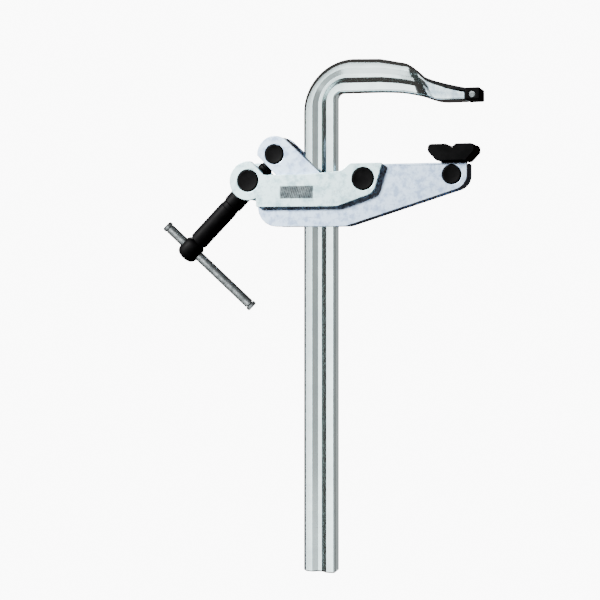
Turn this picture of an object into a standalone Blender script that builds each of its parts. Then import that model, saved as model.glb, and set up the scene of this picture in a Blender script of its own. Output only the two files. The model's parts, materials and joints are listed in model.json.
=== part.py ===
"""A rear-spindle bar clamp: a bent profile rail, a slide that grips it, and a power jaw.

The origin is the middle of the fixed jaw's clamping face. +Z runs up the rail, +X from the
rail towards the jaws, and Y is the thickness. Everything is at its real size, in metres.
"""

import math

import bmesh
import bpy
from mathutils import Vector

mm = 0.001
GAP = 0.3 * mm  # between pieces that touch or turn in one another
ROUND_STEPS = 40  # facets round a pin or a hole
SMOOTH_ANGLE = math.radians(35)

# Rail and fixed jaw
RAIL_WIDTH = 27 * mm
RAIL_THICKNESS = 13 * mm
RAIL_EDGE_RADIUS = 2.4 * mm
GROOVE_HALF_WIDTH = 5.9 * mm
GROOVE_FLOOR_HALF = 1.6 * mm
GROOVE_DEPTH = 2.7 * mm
GROOVE_EDGE_RADIUS = 0.8 * mm
REACH = 110 * mm  # rail centre line to the middle of the fixed jaw's face
RAIL_BELOW_FULCRUM = 318 * mm
OPENING_TO_FULCRUM = 60.3 * mm  # fixed jaw's face down to the fulcrum, at rest
BEND_OUTER_RADIUS = 41.5 * mm
BEND_INNER_RADIUS = 5 * mm
BEND_STEPS = 10
ARM_TOP = 37 * mm  # above the fixed jaw's face
BLADE_WIDTH = 22 * mm
TONGUE_WIDTH = 8 * mm
TONGUE_INSET = 0.5 * mm
TIP_START = 9.4 * mm
TIP_LENGTH = 12.2 * mm
TIP_HEIGHT = 9.6 * mm
TIP_END_WALL = 3 * mm
TIP_PIN_RADIUS = 2.7 * mm
TIP_PIN_HEIGHT = 4.3 * mm
RAIL_FOOT_BEVEL = 1.2 * mm
CORNER_SHARE = 0.45  # the most of a thin section that a rounded corner takes
# The arm from its bend to its tip, in mm: X and Z of its outer edge, X and Z of its inner one,
# thickness, groove depth and outer edge radius. It droops a little, then is pressed flat and wide.
ARM_STATIONS = [
    (-60, 36.1, -59, 9.6, 13, 2.7, 2.4),
    (-46, 33.2, -42, 8.4, 13, 2.6, 2.4),
    (-37, 30.8, -27, 5.3, 13.4, 2.0, 2.8),
    (-29.6, 25.2, -18.2, 2.4, 21.4, 0.3, 3.6),
    (-24, 20.4, -13.5, 1.0, 22, 0, 4.2),
    (-16, 16.8, -7.5, 0, 22, 0, 4.4),
    (-4, 13.2, -2, 0, 22, 0, 4.4),
    (9.4, 10, 9.4, 0, 22, 0, 4.2),
]

# Slide and power jaw, where X is from the rail's centre line and Z from the fulcrum
FULCRUM = (39 * mm, 0)
TRUNNION = (-58.5 * mm, 0)
TRUNNION_TO_NUT = 30.4 * mm
SPINDLE_TILT = math.radians(45)
PAD_PIN = (109.5 * mm, 2.3 * mm)
PLATE = 4 * mm
FULCRUM_PIN_RADIUS = 9 * mm
TRUNNION_RADIUS = 9 * mm
NUT_RADIUS = 8 * mm
PAD_PIN_RADIUS = 7.5 * mm
RIVET_RADIUS = 2.5 * mm
LEVER_INNER = RAIL_THICKNESS / 2 + GAP
LEVER_OUTER = LEVER_INNER + PLATE
CHEEK_INNER = LEVER_OUTER + GAP
CHEEK_OUTER = CHEEK_INNER + PLATE
PIN_PROUD = 0.6 * mm
PIN_CHAMFER = 0.7 * mm
RIVET_CHAMFER = 0.3 * mm
TRUNNION_LOBE = 16 * mm
TRUNNION_LOBE_FLAT = 13 * mm
NUT_LOBE = 15 * mm
NUT_LOBE_FLAT = 11 * mm
PAD_LOBE = 12 * mm
SHOE_THICKNESS = 8.2 * mm
SHOE_HEIGHT = 9 * mm
REAR_SHOE_TOP = -3 * mm
FRONT_SHOE_TOP = -7 * mm
SPACER_AT = (78 * mm, -6 * mm)
SPACER_RADIUS = 6 * mm
BUSH_RADIUS = 12.5 * mm
LEVER_SHOULDER = 47.1  # the way the lever's upper edge faces, in degrees from +X
LEVER_RISE = 17.6  # the slope of the lever's underside towards the pad, in degrees
LEVER_FLAT_END = 4.5 * mm  # the height at which the nut lobe's flat ends
LEVER_TOP = 11.8 * mm
LEVER_HIDDEN_TOP = 3.2 * mm  # behind the cheeks
# Corners of the two outlines as X, Z and radius, and the shoes' windows as left, right, bottom
# and top, all in mm
CHEEK_CORNERS = [
    (-51.5, -21.7, 1.5),
    (17.2, -21.7, 20),
    (47.5, -11.4, 10),
    (54.8, 12.5, 1.5),
    (28, 12.5, 4),
    (20.8, 6.6, 6),
    (-9, 4.3, 10),
]
LEVER_LOWER_CORNERS = [(-47.9, -6, 2), (-47.9, -15.6, 2), (-51.3, -19, 0), (-51.3, -37.7, 16)]
SHOE_WINDOWS = [(-23.5, -12.6, -16.3, 2.7), (12.2, 23.4, -17.8, -4.6)]

# Pressure pad
PAD_WIDTH = 36.6 * mm
PAD_BOTTOM_WIDTH = 23 * mm
PAD_DEPTH = 30 * mm
PAD_TOP = 26.3 * mm
PAD_BOTTOM = 13.1 * mm
PAD_WAIST = 20.3 * mm  # where its sides begin to slope in
PAD_LUG_RADIUS = 9.4 * mm
NOTCH_WIDTH = 8 * mm
NOTCH_DEPTH = 3.2 * mm

# Spindle, measured along its axis from the trunnion, positive towards the nut
SHANK_RADIUS = 6 * mm
THREAD_RADIUS = 5 * mm
THREAD_START = 15.5 * mm
THREAD_END = 45.2 * mm
THREAD_CHAMFER = 0.8 * mm
NUT_BORE_RADIUS = 5.9 * mm
WASHER_RADIUS = 8.3 * mm
WASHER_THICKNESS = 2 * mm
COLLAR_RADIUS = 8.15 * mm
COLLAR_LOW = -27 * mm
NECK_RADIUS = 7.4 * mm
NECK_LOW = -31 * mm
SLEEVE_RADIUS = 7.9 * mm
SLEEVE_CHAMFER = 0.6 * mm
CIRCLIP_RADIUS = 8 * mm
CIRCLIP_THICKNESS = 1.5 * mm
STOP_RING_RADIUS = 6.3 * mm
STOP_RING_LENGTH = 1.6 * mm
HEAD_RADIUS = 9.4 * mm
HEAD_TOP = -70.4 * mm
HEAD_BOTTOM = -88.6 * mm
HEAD_STEPS = 12
HEAD_SIDE_POWER = 0.45
HEAD_END_POWER = 0.8
BAR_AT = -79 * mm
BAR_RADIUS = 4 * mm
BAR_LENGTH = 100 * mm
BAR_OFFSET = 21 * mm
BAR_TURN = math.radians(13)
BAR_RING_RADIUS = 4.5 * mm
BAR_RING_LENGTH = 4 * mm
BAR_SPIGOT_RADIUS = 2.8 * mm

Y = Vector((0, 1, 0))
RAIL_X = -REACH
FULCRUM_Z = -OPENING_TO_FULCRUM
SPINDLE_DIRECTION = (math.sin(SPINDLE_TILT), math.cos(SPINDLE_TILT))
NUT = (
    TRUNNION[0] + TRUNNION_TO_NUT * SPINDLE_DIRECTION[0],
    TRUNNION[1] + TRUNNION_TO_NUT * SPINDLE_DIRECTION[1],
)


# ---- scene, materials and placing ----


def clear_scene():
    for obj in list(bpy.data.objects):
        bpy.data.objects.remove(obj, do_unlink=True)


def new_collection(name):
    collection = bpy.data.collections.new(name)
    bpy.context.scene.collection.children.link(collection)
    return collection


def new_material(name, colour, roughness, metallic):
    material = bpy.data.materials.new(name)
    material.use_nodes = True
    shader = material.node_tree.nodes["Principled BSDF"]
    shader.inputs["Base Color"].default_value = (*colour, 1)
    shader.inputs["Roughness"].default_value = roughness
    shader.inputs["Metallic"].default_value = metallic
    material.diffuse_color = (*colour, 1)
    return material


def joint_empty(name, point, tilt=0.0):
    """An empty on a joint's axis, which carries the pieces that turn or slide there."""
    empty = bpy.data.objects.new(name, None)
    empty.location = (RAIL_X + point[0], 0, FULCRUM_Z + point[1])
    empty.rotation_euler = (0, tilt, 0)
    empty.empty_display_size = 0.02
    parts.objects.link(empty)
    return empty


def carry(obj, empty):
    """Parents obj to the empty and leaves it where it is."""
    bpy.context.view_layer.update()
    obj.parent = empty
    obj.matrix_parent_inverse = empty.matrix_world.inverted()


def finish(obj, material, collection=None):
    (collection or parts).objects.link(obj)
    obj.data.materials.clear()
    obj.data.materials.append(material)
    return obj


# ---- shape tools ----


def arc(centre, radius, start, end, steps):
    """Points on an arc in the XZ plane, from start to end in degrees."""
    angles = [math.radians(start + (end - start) * i / steps) for i in range(steps + 1)]
    return [(centre[0] + radius * math.cos(a), centre[1] + radius * math.sin(a)) for a in angles]


def filleted(corners, steps=5):
    """Points along a path of (x, z, radius) corners, each rounded to its radius.

    The first and last corners are ends and stay sharp.
    """
    points = [corners[0][:2]]
    for before, here, after in zip(corners, corners[1:], corners[2:]):
        point = Vector(here[:2])
        radius = here[2]
        back = (Vector(before[:2]) - point).normalized()
        ahead = (Vector(after[:2]) - point).normalized()
        if radius == 0:
            points.append(tuple(point))
            continue
        half = back.angle(ahead) / 2
        centre = point + (back + ahead).normalized() * radius / math.sin(half)
        start = point + back * radius / math.tan(half) - centre
        end = point + ahead * radius / math.tan(half) - centre
        for i in range(steps + 1):
            points.append(tuple(centre + start.slerp(end, i / steps) * radius))
    points.append(corners[-1][:2])
    return points


def circle(centre, radius, steps=ROUND_STEPS):
    return arc(centre, radius, 0, 360, steps)[:-1]


def rectangle(left, right, bottom, top):
    return [(left, bottom), (right, bottom), (right, top), (left, top)]


def in_metres(rows):
    return [tuple(value * mm for value in row) for row in rows]


def merge(points):
    """Drops each point that lies on the one before it."""
    kept = []
    for point in points:
        if not kept or math.dist(point, kept[-1]) > 0.01 * mm:
            kept.append(point)
    if math.dist(kept[0], kept[-1]) < 0.01 * mm:
        kept.pop()
    return kept


def mesh_from_curve(obj):
    """Makes obj's curve a mesh with welded caps, and returns its new object."""
    bpy.context.scene.collection.objects.link(obj)
    bpy.context.view_layer.update()
    evaluated = obj.evaluated_get(bpy.context.evaluated_depsgraph_get())
    mesh = bpy.data.meshes.new_from_object(evaluated)
    work = bmesh.new()
    work.from_mesh(mesh)
    bmesh.ops.remove_doubles(work, verts=work.verts, dist=0.001 * mm)
    work.to_mesh(mesh)
    work.free()
    made = bpy.data.objects.new(obj.name, mesh)
    made.matrix_world = obj.matrix_world
    bpy.data.objects.remove(obj, do_unlink=True)
    made.name = mesh.name = mesh.name.split(".")[0]
    return made


def plate(name, outlines, y_low, y_high, about=(0, 0)):
    """A flat piece between y_low and y_high. Inner outlines are holes.

    Outlines are in the slide's coordinates, and about is the point that its origin takes.
    """
    curve = bpy.data.curves.new(name, "CURVE")
    curve.dimensions = "2D"
    curve.fill_mode = "BOTH"
    curve.extrude = (y_high - y_low) / 2
    for outline in outlines:
        outline = merge(outline)
        spline = curve.splines.new("POLY")
        spline.points.add(len(outline) - 1)
        for spline_point, (x, z) in zip(spline.points, outline):
            spline_point.co = (x - about[0], z - about[1], 0, 1)
        spline.use_cyclic_u = True
    obj = bpy.data.objects.new(name, curve)
    obj.location = (RAIL_X + about[0], (y_low + y_high) / 2, FULCRUM_Z + about[1])
    obj.rotation_euler = (math.pi / 2, 0, 0)
    return mesh_from_curve(obj)


def turned(name, profile, closed=False, steps=ROUND_STEPS):
    """A turned piece about its own Z. The profile is (radius, height), top to bottom.

    A closed profile is a ring's section: down its outer side, then up its bore.
    """
    mesh = bpy.data.meshes.new(name)
    edges = [(i, i + 1) for i in range(len(profile) - 1)]
    if closed:
        edges.append((len(profile) - 1, 0))
    mesh.from_pydata([(radius, 0, height) for radius, height in profile], edges, [])
    obj = bpy.data.objects.new(name, mesh)
    screw = obj.modifiers.new("Turn", "SCREW")
    screw.steps = screw.render_steps = steps
    screw.use_merge_vertices = True
    screw.merge_threshold = 0.001 * mm
    screw.use_smooth_shade = True
    return obj


def pin_profile(radius, low, high, chamfer):
    return [
        (0, high),
        (radius - chamfer, high),
        (radius, high - chamfer),
        (radius, low + chamfer),
        (radius - chamfer, low),
        (0, low),
    ]


def ring_profile(outer, bore, low, high, chamfer=0.4 * mm):
    return [
        (outer - chamfer, high),
        (outer, high - chamfer),
        (outer, low + chamfer),
        (outer - chamfer, low),
        (bore, low),
        (bore, high),
    ]


def across(obj, point):
    """Lays a turned piece along Y through a point of the slide."""
    obj.rotation_euler = (-math.pi / 2, 0, 0)
    obj.location = (RAIL_X + point[0], 0, FULCRUM_Z + point[1])
    return obj


def along_spindle(obj):
    obj.rotation_euler = (0, SPINDLE_TILT, 0)
    obj.location = (RAIL_X + TRUNNION[0], 0, FULCRUM_Z + TRUNNION[1])
    return obj


def block(name, low, high):
    """A box between two corners in world coordinates, with its origin at its middle."""
    centre = (Vector(low) + Vector(high)) / 2
    size = Vector(high) - Vector(low)
    mesh = bpy.data.meshes.new(name)
    work = bmesh.new()
    bmesh.ops.create_cube(work, size=1)
    bmesh.ops.scale(work, vec=size, verts=work.verts)
    work.to_mesh(mesh)
    work.free()
    obj = bpy.data.objects.new(name, mesh)
    obj.location = centre
    return obj


def rod_cutter(name, centre, direction, radius, length):
    """A cylinder that cuts a hole, centred on a world point."""
    mesh = bpy.data.meshes.new(name)
    work = bmesh.new()
    bmesh.ops.create_cone(
        work,
        cap_ends=True,
        segments=ROUND_STEPS,
        radius1=radius,
        radius2=radius,
        depth=length,
    )
    work.to_mesh(mesh)
    work.free()
    cutter = bpy.data.objects.new(name, mesh)
    cutter.location = centre
    cutter.rotation_mode = "QUATERNION"
    cutter.rotation_quaternion = Vector((0, 0, 1)).rotation_difference(Vector(direction))
    return as_cutter(cutter)


def as_cutter(obj):
    cutters.objects.link(obj)
    obj.hide_render = True
    obj.display_type = "WIRE"
    return obj


def boolean(obj, other, operation):
    modifier = obj.modifiers.new(operation.title(), "BOOLEAN")
    modifier.operation = operation
    modifier.solver = "EXACT"
    modifier.object = other


def soften(obj, width, segments=1):
    """Bevels the sharp edges."""
    bevel = obj.modifiers.new("Soft edges", "BEVEL")
    bevel.width = width
    bevel.segments = segments
    bevel.limit_method = "ANGLE"
    bevel.angle_limit = math.radians(40)


# ---- rail and fixed jaw ----


def groove_side():
    """One side of a full groove, as (across its width, depth): shoulder, slope and floor."""
    path = [
        (-GROOVE_HALF_WIDTH - GROOVE_EDGE_RADIUS, 0, 0),
        (-GROOVE_HALF_WIDTH, 0, GROOVE_EDGE_RADIUS),
        (-GROOVE_FLOOR_HALF, GROOVE_DEPTH, GROOVE_EDGE_RADIUS),
        (0, GROOVE_DEPTH, 0),
    ]
    return filleted(path, steps=2)[1:-1]


def rail_section(width, thickness, groove, outer_radius):
    """Points round a section of the rail: across its width, and through its thickness.

    groove is the depth of the hollow in each broad face.
    """
    half = width / 2
    deep = thickness / 2
    inner_radius = min(RAIL_EDGE_RADIUS, half * CORNER_SHARE, deep * CORNER_SHARE)
    outer_radius = min(outer_radius, width * CORNER_SHARE, deep * CORNER_SHARE)
    across_scale = width / RAIL_WIDTH
    depth_scale = groove / GROOVE_DEPTH
    side = [(x * across_scale, deep - depth * depth_scale) for x, depth in groove_side()]
    face = side + [(-x, y) for x, y in reversed(side)]
    outer = arc((outer_radius - half, deep - outer_radius), outer_radius, 180, 90, 3)
    inner = arc((half - inner_radius, deep - inner_radius), inner_radius, 90, 0, 3)
    upper = outer + face + inner
    lower = [(x, -y) for x, y in reversed(upper)]
    return upper + lower


def rail_stations():
    """(outer point, inner point, thickness, groove depth, outer edge radius) along the rail.

    The outer point is on the rail's back and the arm's top, and the inner one faces the work.
    """
    back = RAIL_X - RAIL_WIDTH / 2
    front = RAIL_X + RAIL_WIDTH / 2
    foot = FULCRUM_Z - RAIL_BELOW_FULCRUM
    bevel = RAIL_FOOT_BEVEL
    plain = (GROOVE_DEPTH, RAIL_EDGE_RADIUS)
    arm_under = ARM_TOP - RAIL_WIDTH
    outer_centre = (back + BEND_OUTER_RADIUS, ARM_TOP - BEND_OUTER_RADIUS)
    inner_centre = (front + BEND_INNER_RADIUS, arm_under - BEND_INNER_RADIUS)
    stations = [
        ((back + bevel, foot), (front - bevel, foot), RAIL_THICKNESS - 2 * bevel, *plain),
        ((back, foot + bevel), (front, foot + bevel), RAIL_THICKNESS, *plain),
    ]
    outer = arc(outer_centre, BEND_OUTER_RADIUS, 180, 90, BEND_STEPS)
    inner = arc(inner_centre, BEND_INNER_RADIUS, 180, 90, BEND_STEPS)
    for outer_point, inner_point in zip(outer, inner):
        stations.append((outer_point, inner_point, RAIL_THICKNESS, *plain))
    for outer_x, outer_z, inner_x, inner_z, *section in in_metres(ARM_STATIONS):
        stations.append(((outer_x, outer_z), (inner_x, inner_z), *section))
    tongue_top = TIP_HEIGHT - TONGUE_INSET
    tongue_end = TIP_START + TIP_LENGTH - TIP_END_WALL
    for x in (TIP_START, tongue_end):
        tongue = ((x, tongue_top), (x, TONGUE_INSET), TONGUE_WIDTH, 0, RAIL_EDGE_RADIUS)
        stations.append(tongue)
    return stations


def make_rail():
    work = bmesh.new()
    rings = []
    for outer_point, inner_point, thickness, groove, outer_radius in rail_stations():
        outer = Vector((outer_point[0], 0, outer_point[1]))
        inner = Vector((inner_point[0], 0, inner_point[1]))
        middle = (outer + inner) / 2
        along = (inner - outer).normalized()
        section = rail_section((inner - outer).length, thickness, groove, outer_radius)
        ring = [work.verts.new(middle + along * v + Vector((0, y, 0))) for v, y in section]
        rings.append(ring)
    for low, high in zip(rings, rings[1:]):
        for i in range(len(low)):
            j = (i + 1) % len(low)
            work.faces.new((low[i], low[j], high[j], high[i]))
    work.faces.new(rings[0][::-1])
    work.faces.new(rings[-1])
    bmesh.ops.recalc_face_normals(work, faces=work.faces)
    mesh = bpy.data.meshes.new("rail")
    work.to_mesh(mesh)
    work.free()
    mesh.shade_smooth()
    mesh.set_sharp_from_angle(angle=SMOOTH_ANGLE)
    rail = finish(bpy.data.objects.new("rail", mesh), steel)
    pin_at = (TIP_START + TIP_LENGTH / 2, 0, TIP_PIN_HEIGHT)
    hole = rod_cutter("tip_hole", pin_at, (0, 1, 0), TIP_PIN_RADIUS + GAP, 3 * BLADE_WIDTH)
    boolean(rail, hole, "DIFFERENCE")

    half = BLADE_WIDTH / 2
    low = (TIP_START + GAP, -half, 0)
    high = (TIP_START + TIP_LENGTH, half, TIP_HEIGHT)
    cap = finish(block("tip_cap", low, high), black)
    soften(cap, 1.0 * mm, 2)
    slot_half = TONGUE_WIDTH / 2 + GAP
    slot_end = TIP_START + TIP_LENGTH - TIP_END_WALL + GAP
    slot = as_cutter(
        block(
            "tip_slot",
            (TIP_START - TIP_LENGTH, -slot_half, -TIP_HEIGHT),
            (slot_end, slot_half, 2 * TIP_HEIGHT),
        )
    )
    boolean(cap, slot, "DIFFERENCE")
    boolean(cap, hole, "DIFFERENCE")
    profile = pin_profile(TIP_PIN_RADIUS, -half, half, 0.4 * mm)
    pin = finish(turned("tip_pin", profile, steps=20), steel)
    pin.rotation_euler = (-math.pi / 2, 0, 0)
    pin.location = pin_at


# ---- slide ----


def cheek_outline():
    nose = math.degrees(math.acos(TRUNNION_LOBE_FLAT / TRUNNION_LOBE))
    tilt = 90 - math.degrees(SPINDLE_TILT)
    corners = in_metres(CHEEK_CORNERS)
    left = corners[0][0]
    top = corners[-1][1]
    meet = -math.degrees(math.acos((left - TRUNNION[0]) / TRUNNION_LOBE))
    lobe = arc(TRUNNION, TRUNNION_LOBE, tilt + nose, 360 + meet, 24)
    flat_meets_top = TRUNNION[0] + TRUNNION_LOBE_FLAT / SPINDLE_DIRECTION[0] - top
    return lobe + filleted([(*lobe[-1], 0), *corners, (flat_meets_top, top, 0)])


def shoe_boxes():
    """(name, left, right, top) of the two shoes that bear on the rail's narrow faces."""
    rail_half = RAIL_WIDTH / 2 + GAP
    return [
        ("rear_shoe", -rail_half - SHOE_THICKNESS, -rail_half, REAR_SHOE_TOP),
        ("front_shoe", rail_half, rail_half + SHOE_THICKNESS, FRONT_SHOE_TOP),
    ]


def rivet_points():
    return [((left + right) / 2, top - SHOE_HEIGHT / 2) for _, left, right, top in shoe_boxes()]


def make_slide(slide_axis):
    holes = [
        circle(TRUNNION, TRUNNION_RADIUS + GAP),
        circle(FULCRUM, FULCRUM_PIN_RADIUS + GAP),
    ]
    holes += [circle(point, RIVET_RADIUS + GAP, 20) for point in rivet_points()]
    sides = [("front_cheek", -CHEEK_OUTER, -CHEEK_INNER), ("rear_cheek", CHEEK_INNER, CHEEK_OUTER)]
    for name, low, high in sides:
        carry(finish(plate(name, [cheek_outline(), *holes], low, high), steel), slide_axis)

    half = CHEEK_INNER - GAP
    for (name, left, right, top), point in zip(shoe_boxes(), rivet_points()):
        outline = rectangle(left, right, top - SHOE_HEIGHT, top)
        hole = circle(point, RIVET_RADIUS + GAP, 20)
        carry(finish(plate(name, [outline, hole], -half, half), dark_steel), slide_axis)

    profile = pin_profile(RIVET_RADIUS, -CHEEK_OUTER, CHEEK_OUTER, RIVET_CHAMFER)
    for name, point in zip(("rear_shoe_rivet", "front_shoe_rivet"), rivet_points()):
        rivet = turned(name, profile, steps=20)
        carry(finish(across(rivet, point), steel), slide_axis)

    reach = CHEEK_OUTER + PIN_PROUD
    profile = pin_profile(FULCRUM_PIN_RADIUS, -reach, reach, PIN_CHAMFER)
    carry(finish(across(turned("fulcrum_pin", profile), FULCRUM), black), slide_axis)


# ---- jaw lever ----


def lever_outline():
    tilt = 90 - math.degrees(SPINDLE_TILT)
    nose = math.degrees(math.acos(NUT_LOBE_FLAT / NUT_LOBE))
    lobe = arc(NUT, NUT_LOBE, LEVER_SHOULDER, tilt + 180 - nose, 16)
    flat = Vector(NUT) - Vector(SPINDLE_DIRECTION) * NUT_LOBE_FLAT
    flat_end = (flat.x + flat.y - LEVER_FLAT_END, LEVER_FLAT_END)
    lower_corners = in_metres(LEVER_LOWER_CORNERS)
    bottom = lower_corners[-1][1]
    end = arc(PAD_PIN, PAD_LOBE, -90 + LEVER_RISE, 0, 10)
    under_run = (end[0][1] - bottom) / math.tan(math.radians(LEVER_RISE))
    facing = math.radians(LEVER_SHOULDER)
    along = (lobe[0][1] - LEVER_HIDDEN_TOP) / math.cos(facing)
    upper_end = (lobe[0][0] + along * math.sin(facing), LEVER_HIDDEN_TOP)
    lower = filleted(
        [
            (*lobe[-1], 0),
            (*flat_end, 0),
            *lower_corners,
            (end[0][0] - under_run, bottom, 20 * mm),
            (*end[0], 0),
        ]
    )
    upper = filleted(
        [
            (*end[-1], 0),
            (PAD_PIN[0] + PAD_LOBE, LEVER_TOP, 1.5 * mm),
            (33 * mm, LEVER_TOP, 4 * mm),
            (25 * mm, LEVER_HIDDEN_TOP, 4 * mm),
            (*upper_end, 3 * mm),
            (*lobe[0], 0),
        ]
    )
    return lobe + lower + end + upper


def make_lever(lever_axis):
    holes = [
        circle(FULCRUM, FULCRUM_PIN_RADIUS + GAP),
        circle(NUT, NUT_RADIUS + GAP),
        circle(PAD_PIN, PAD_PIN_RADIUS + GAP),
        circle(SPACER_AT, RIVET_RADIUS + GAP, 20),
        *[rectangle(*window) for window in in_metres(SHOE_WINDOWS)],
    ]
    sides = [
        ("front_lever_plate", -LEVER_OUTER, -LEVER_INNER),
        ("rear_lever_plate", LEVER_INNER, LEVER_OUTER),
    ]
    for name, low, high in sides:
        made = plate(name, [lever_outline(), *holes], low, high, FULCRUM)
        carry(finish(made, steel), lever_axis)
    between = LEVER_INNER - GAP
    profile = ring_profile(BUSH_RADIUS, FULCRUM_PIN_RADIUS + GAP, -between, between)
    bush = turned("fulcrum_bush", profile, closed=True)
    carry(finish(across(bush, FULCRUM), dark_steel), lever_axis)
    profile = ring_profile(SPACER_RADIUS, RIVET_RADIUS + GAP, -between, between)
    spacer = turned("lever_spacer", profile, closed=True, steps=24)
    carry(finish(across(spacer, SPACER_AT), dark_steel), lever_axis)
    profile = pin_profile(RIVET_RADIUS, -LEVER_OUTER, LEVER_OUTER, RIVET_CHAMFER)
    rivet = turned("spacer_rivet", profile, steps=20)
    carry(finish(across(rivet, SPACER_AT), steel), lever_axis)
    reach = LEVER_OUTER + PIN_PROUD
    profile = pin_profile(PAD_PIN_RADIUS, -reach, reach, PIN_CHAMFER)
    carry(finish(across(turned("pad_pin", profile), PAD_PIN), black), lever_axis)


def pad_outline():
    """The pad from the side: a wedge with a V notch in its top."""
    x, half, foot = PAD_PIN[0], PAD_WIDTH / 2, PAD_BOTTOM_WIDTH / 2
    path = filleted(
        [
            (x, PAD_TOP - NOTCH_DEPTH, 0),
            (x - NOTCH_WIDTH / 2, PAD_TOP, 0.8 * mm),
            (x - half, PAD_TOP, 2.8 * mm),
            (x - half, PAD_WAIST, 3 * mm),
            (x - foot, PAD_BOTTOM, 1.2 * mm),
            (x + foot, PAD_BOTTOM, 1.2 * mm),
            (x + half, PAD_WAIST, 3 * mm),
            (x + half, PAD_TOP, 2.8 * mm),
            (x + NOTCH_WIDTH / 2, PAD_TOP, 0.8 * mm),
            (x, PAD_TOP - NOTCH_DEPTH, 0),
        ],
        steps=3,
    )
    return path[:-1]


def make_pad(pad_axis):
    half = PAD_DEPTH / 2
    pad = plate("pressure_pad", [pad_outline()], -half, half, PAD_PIN)
    finish(pad, black)
    lug_half = LEVER_INNER - GAP
    x, z = PAD_PIN
    lug_path = arc(PAD_PIN, PAD_LUG_RADIUS, 180, 360, 18)
    lug_top = (PAD_BOTTOM + PAD_WAIST) / 2
    lug_path += [(x + PAD_LUG_RADIUS, lug_top), (x - PAD_LUG_RADIUS, lug_top)]
    lug = plate("pad_lug", [lug_path], -lug_half, lug_half, PAD_PIN)
    boolean(pad, as_cutter(lug), "UNION")
    pin_at = (RAIL_X + x, 0, FULCRUM_Z + z)
    radius = PAD_PIN_RADIUS + GAP
    hole = rod_cutter("pad_hole", pin_at, (0, 1, 0), radius, 2 * PAD_DEPTH)
    boolean(pad, hole, "DIFFERENCE")
    carry(pad, pad_axis)


def make_nut(nut_axis):
    reach = LEVER_OUTER + PIN_PROUD
    profile = pin_profile(NUT_RADIUS, -reach, reach, PIN_CHAMFER)
    nut = finish(across(turned("barrel_nut", profile), NUT), black)
    centre = (RAIL_X + NUT[0], 0, FULCRUM_Z + NUT[1])
    direction = (SPINDLE_DIRECTION[0], 0, SPINDLE_DIRECTION[1])
    bore = rod_cutter("nut_bore", centre, direction, NUT_BORE_RADIUS, 4 * NUT_RADIUS)
    boolean(nut, bore, "DIFFERENCE")
    carry(nut, nut_axis)


# ---- trunnion, spindle and tommy bar ----


def make_trunnion(trunnion_axis):
    reach = CHEEK_OUTER + PIN_PROUD
    profile = pin_profile(TRUNNION_RADIUS, -reach, reach, PIN_CHAMFER)
    barrel = finish(across(turned("trunnion_barrel", profile), TRUNNION), black)
    centre = (RAIL_X + TRUNNION[0], 0, FULCRUM_Z + TRUNNION[1])
    direction = (SPINDLE_DIRECTION[0], 0, SPINDLE_DIRECTION[1])
    radius = SHANK_RADIUS + GAP
    bore = rod_cutter("trunnion_bore", centre, direction, radius, 4 * TRUNNION_RADIUS)
    boolean(barrel, bore, "DIFFERENCE")
    carry(barrel, trunnion_axis)


def head_profile():
    """The cross-drilled head, from its neck down to its domed end."""
    middle = (HEAD_TOP + HEAD_BOTTOM) / 2
    half = (HEAD_TOP - HEAD_BOTTOM) / 2
    points = []
    for i in range(1, HEAD_STEPS):
        angle = math.pi * i / HEAD_STEPS
        # A superellipse: nearly straight sides with full, rounded ends.
        radius = HEAD_RADIUS * math.sin(angle) ** HEAD_SIDE_POWER
        cosine = math.cos(angle)
        height = middle + half * math.copysign(abs(cosine) ** HEAD_END_POWER, cosine)
        points.append((radius, height))
    return points


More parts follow.
